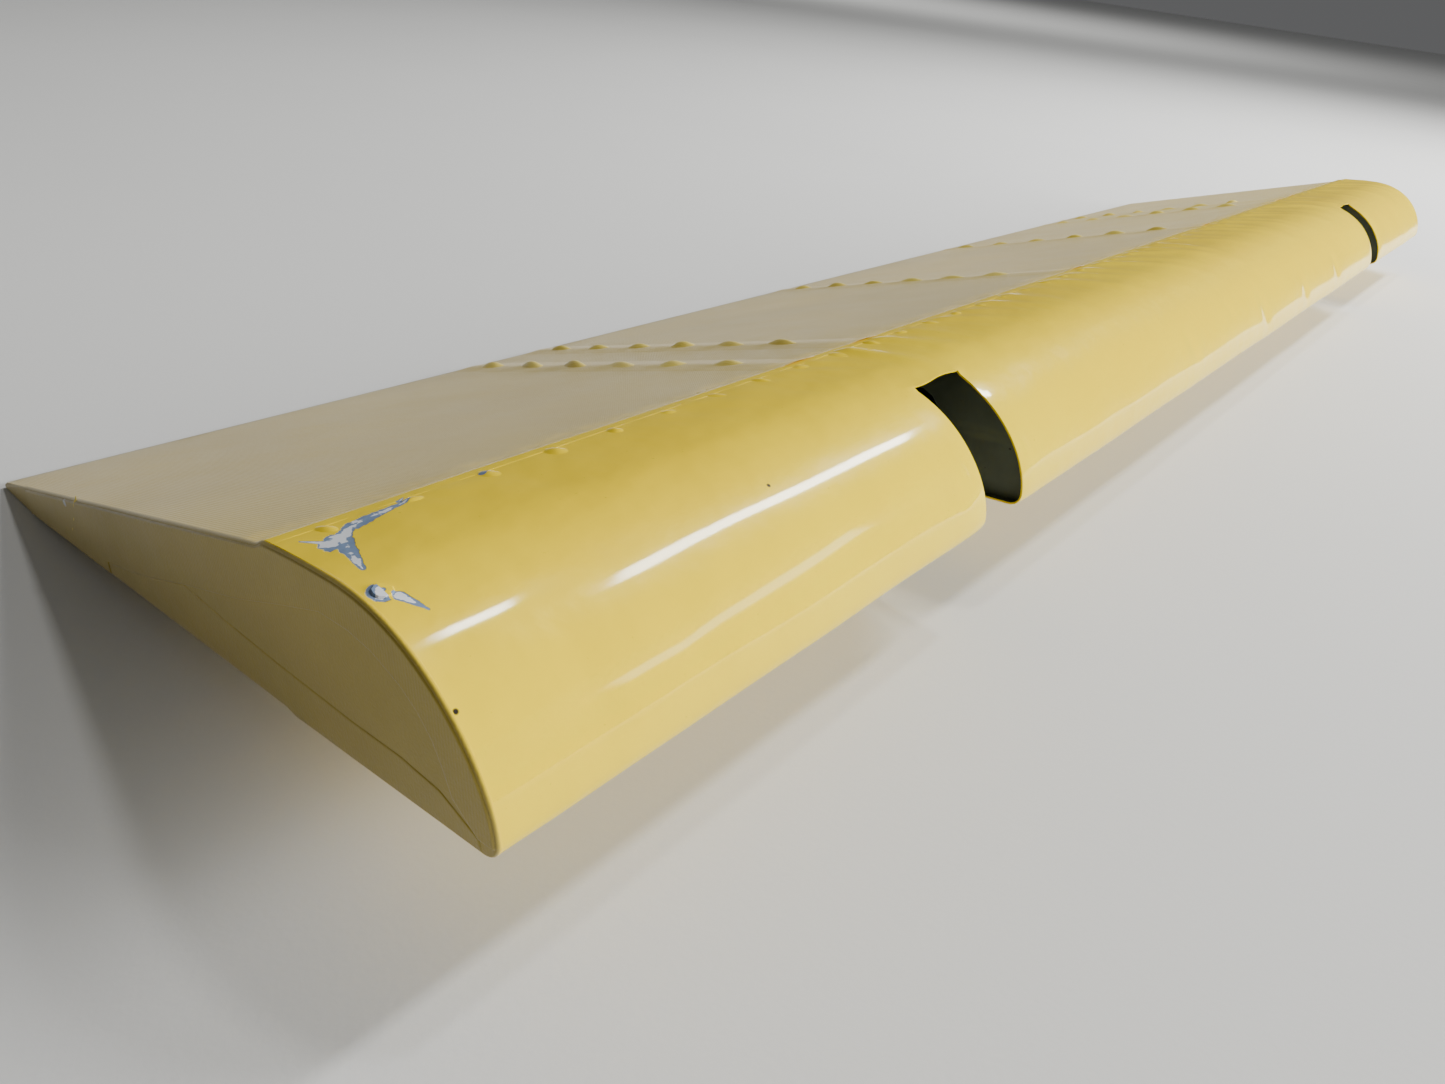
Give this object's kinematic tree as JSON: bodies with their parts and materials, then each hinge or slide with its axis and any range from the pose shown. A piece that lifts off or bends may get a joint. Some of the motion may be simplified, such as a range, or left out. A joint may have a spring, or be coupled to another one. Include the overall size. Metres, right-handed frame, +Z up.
{
  "type": "fabric-covered aileron",
  "caption": "Yellow fabric-covered aileron for a large model aeroplane: rounded metal nose with hinge slots, channel spar, pressed ribs, thin tail edge and a control horn.",
  "frame": {"origin": "centre of the object's box on the ground it rests on", "axes": "+X along the span from the inboard end to the outboard end, +Y from the nose to the trailing edge, +Z up with the aileron resting on its trailing edge and its control horn"},
  "size_m": [1.22, 0.3022, 0.0848],
  "materials": {
    "yellow_enamel": "gloss enamel",
    "doped_cloth": "doped and painted cloth, semi-gloss",
    "primer": "matt primer",
    "bare_aluminium": "mill finish",
    "plated_steel": "zinc plated",
    "bearing_steel": "ground and polished",
    "bronze": "turned"
  },
  "bodies": {
    "aileron": {"bracket_inboard_bolt_1": "plated_steel", "bracket_inboard_bolt_2": "plated_steel", "bracket_inboard_bolt_3": "plated_steel", "bracket_inboard_bolt_4": "plated_steel", "bracket_inboard_nut_plate": "plated_steel", "bracket_outboard_bolt_1": "plated_steel", "bracket_outboard_bolt_2": "plated_steel", "bracket_outboard_bolt_3": "plated_steel", "bracket_outboard_bolt_4": "plated_steel", "bracket_outboard_nut_plate": "plated_steel", "control_horn": "plated_steel", "end_fabric_inboard": "doped_cloth", "end_fabric_outboard": "doped_cloth", "end_rib_inboard": "primer", "end_rib_outboard": "primer", "end_rivet_inboard_1": "bare_aluminium", "end_rivet_inboard_2": "bare_aluminium", "end_rivet_inboard_3": "bare_aluminium", "end_rivet_inboard_4": "bare_aluminium", "end_rivet_inboard_5": "bare_aluminium", "end_rivet_inboard_6": "bare_aluminium", "end_rivet_outboard_1": "bare_aluminium", "end_rivet_outboard_2": "bare_aluminium", "end_rivet_outboard_3": "bare_aluminium", "end_rivet_outboard_4": "bare_aluminium", "end_rivet_outboard_5": "bare_aluminium", "end_rivet_outboard_6": "bare_aluminium", "hinge_bracket_inboard": "plated_steel", "hinge_bracket_outboard": "plated_steel", "hinge_race_inboard": "bearing_steel", "hinge_race_outboard": "bearing_steel", "horn_bolt_1": "plated_steel", "horn_bolt_2": "plated_steel", "horn_bolt_3": "plated_steel", "horn_bolt_4": "plated_steel", "horn_bush": "bronze", "horn_nut_plate": "plated_steel", "lower_fabric": "doped_cloth", "nose_rib_1": "primer", "nose_rib_2": "primer", "nose_rib_3": "primer", "nose_rib_4": "primer", "nose_rib_5": "primer", "nose_rib_6": "primer", "nose_skin": "yellow_enamel", "rear_rib_1": "primer", "rear_rib_2": "primer", "rear_rib_3": "primer", "rear_rib_4": "primer", "rear_rib_5": "primer", "rear_rib_6": "primer", "spar": "primer", "spar_end_angle_inboard": "bare_aluminium", "spar_end_angle_outboard": "bare_aluminium", "trailing_edge_strip": "primer", "upper_fabric": "doped_cloth"},
    "inboard_ball": {"hinge_ball_inboard": "bearing_steel"},
    "outboard_ball": {"hinge_ball_outboard": "bearing_steel"}
  },
  "joints": [
    {"name": "inboard_hinge", "type": "hinge", "parent": "aileron", "child": "inboard_ball", "pos_m": [-0.3633, -0.09261, 0.04434], "axis": [1, 0, 0], "continuous": true},
    {"name": "outboard_hinge", "type": "hinge", "parent": "aileron", "child": "outboard_ball", "pos_m": [0.3773, -0.09261, 0.04434], "axis": [1, 0, 0], "continuous": true}
  ]
}
